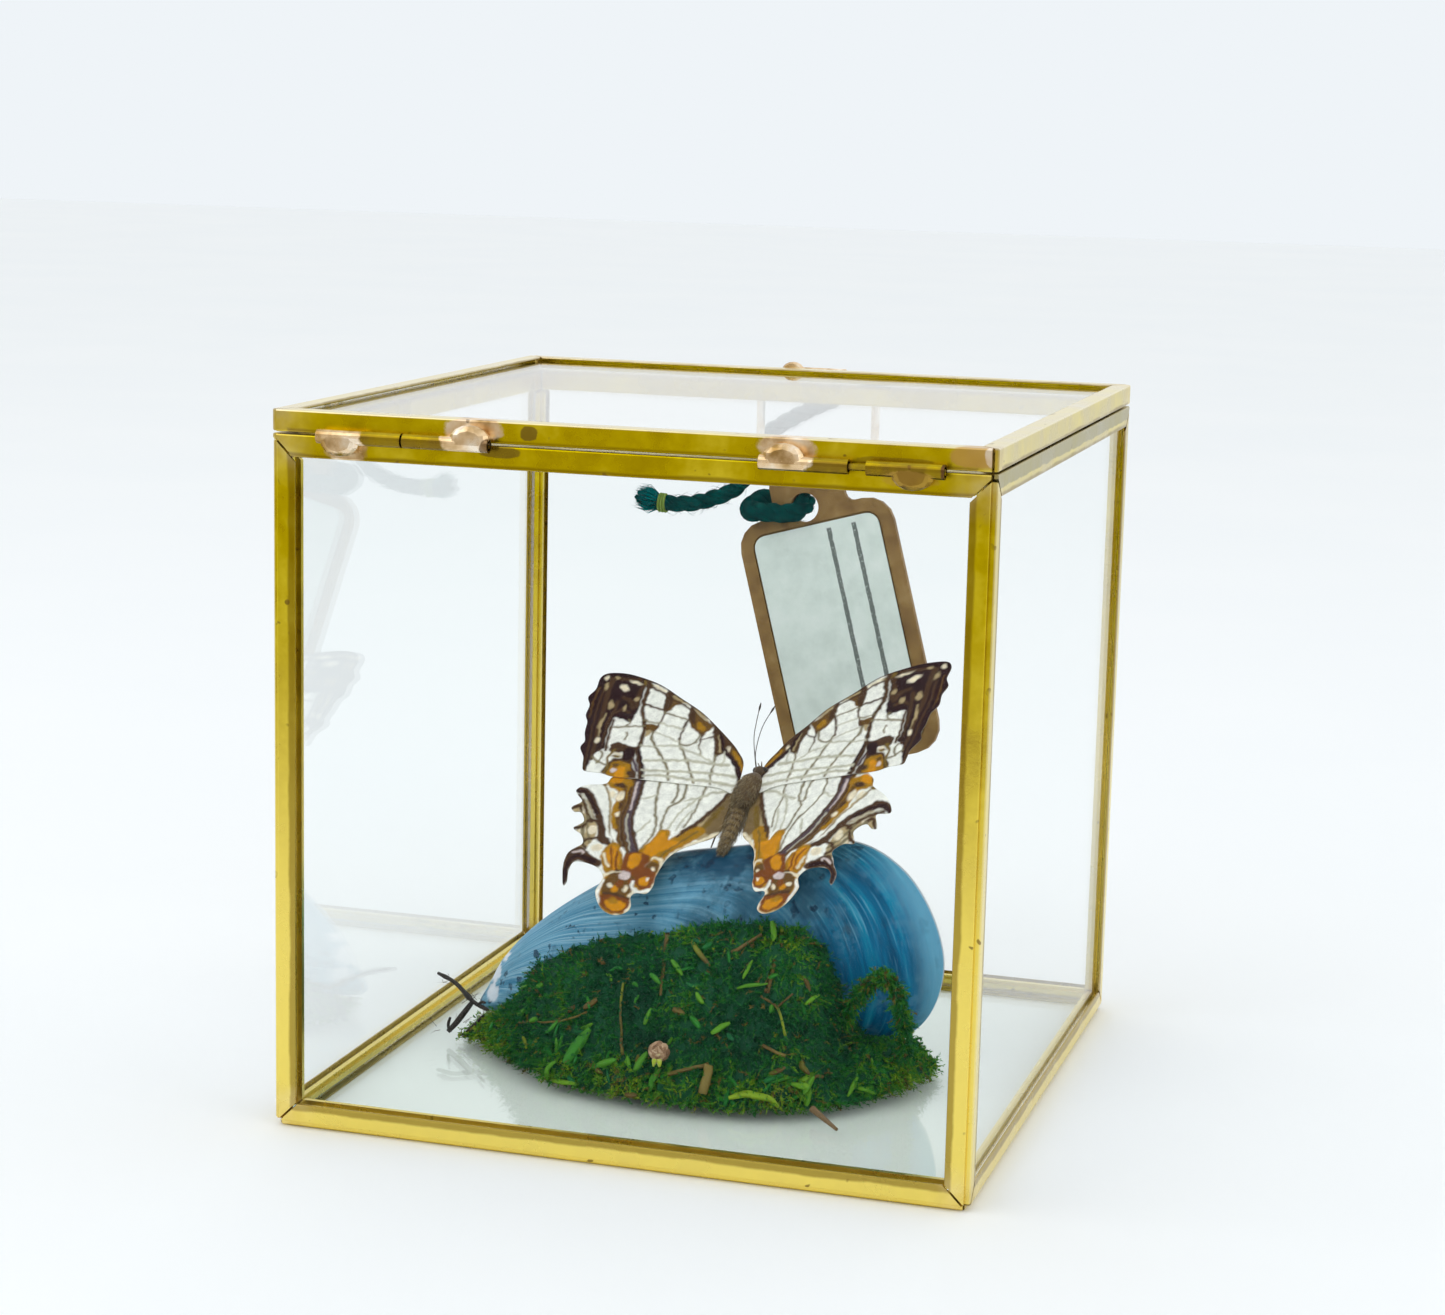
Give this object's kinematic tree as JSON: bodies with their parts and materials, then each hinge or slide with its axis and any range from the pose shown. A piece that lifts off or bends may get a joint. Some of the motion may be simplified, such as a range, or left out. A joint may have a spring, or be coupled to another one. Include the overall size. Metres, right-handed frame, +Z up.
{
  "type": "butterfly specimen in hinged glass box",
  "caption": "Butterfly perched on a mussel valve in a mound of moss, inside a square brass-framed glass box with a hinged lid and a tag on twine.",
  "frame": {"origin": "middle of the base, on the surface the box stands on", "axes": "+Z up; +Y from the hinge side towards the latch side, where the tag hangs; +X to the right seen from the hinge side"},
  "size_m": [0.1, 0.1099, 0.1019],
  "materials": {
    "brass": "aged yellow brass with coppery solder",
    "glass": "clear polished",
    "tag_card": "smooth brown, slightly worn",
    "label": "matt uncoated paper",
    "twine": "twisted wool",
    "mussel": "satin shell with growth rings",
    "moss": "dry preserved moss",
    "wing": "scaled translucent membrane",
    "insect_body": "fine hairs",
    "twig": "dry bark",
    "bud": "dry petals"
  },
  "bodies": {
    "box": {"bottom_rail_hinge_side": "brass", "bottom_rail_latch_side": "brass", "bottom_rail_left": "brass", "bottom_rail_right": "brass", "bud": "bud", "butterfly_body": "insect_body", "forewing_left": "wing", "forewing_right": "wing", "hindwing_left": "wing", "hindwing_right": "wing", "hinge_left_box_knuckle": "brass", "hinge_left_pin": "brass", "hinge_right_box_knuckle": "brass", "hinge_right_pin": "brass", "moss": "moss", "mussel_valve": "mussel", "pane_floor": "glass", "pane_hinge_side": "glass", "pane_latch_side": "glass", "pane_left": "glass", "pane_right": "glass", "post_hinge_side_left": "brass", "post_hinge_side_right": "brass", "post_latch_side_left": "brass", "post_latch_side_right": "brass", "tag_frame": "tag_card", "tag_label": "label", "tag_loop": "brass", "top_rail_hinge_side": "brass", "top_rail_latch_side": "brass", "top_rail_left": "brass", "top_rail_right": "brass", "twig": "twig", "twine": "twine", "twine_hitch": "twine", "twine_ring": "twine"},
    "lid": {"hinge_left_lid_knuckle": "brass", "hinge_right_lid_knuckle": "brass", "lid_pull": "brass", "lid_rail_hinge_side": "brass", "lid_rail_latch_side": "brass", "lid_rail_left": "brass", "lid_rail_right": "brass", "pane_lid": "glass"}
  },
  "joints": [
    {"name": "lid_hinge", "type": "hinge", "parent": "box", "child": "lid", "pos_m": [0, -0.0514, 0.09785], "axis": [1, 0, 0], "range_deg": [0, 110]}
  ]
}
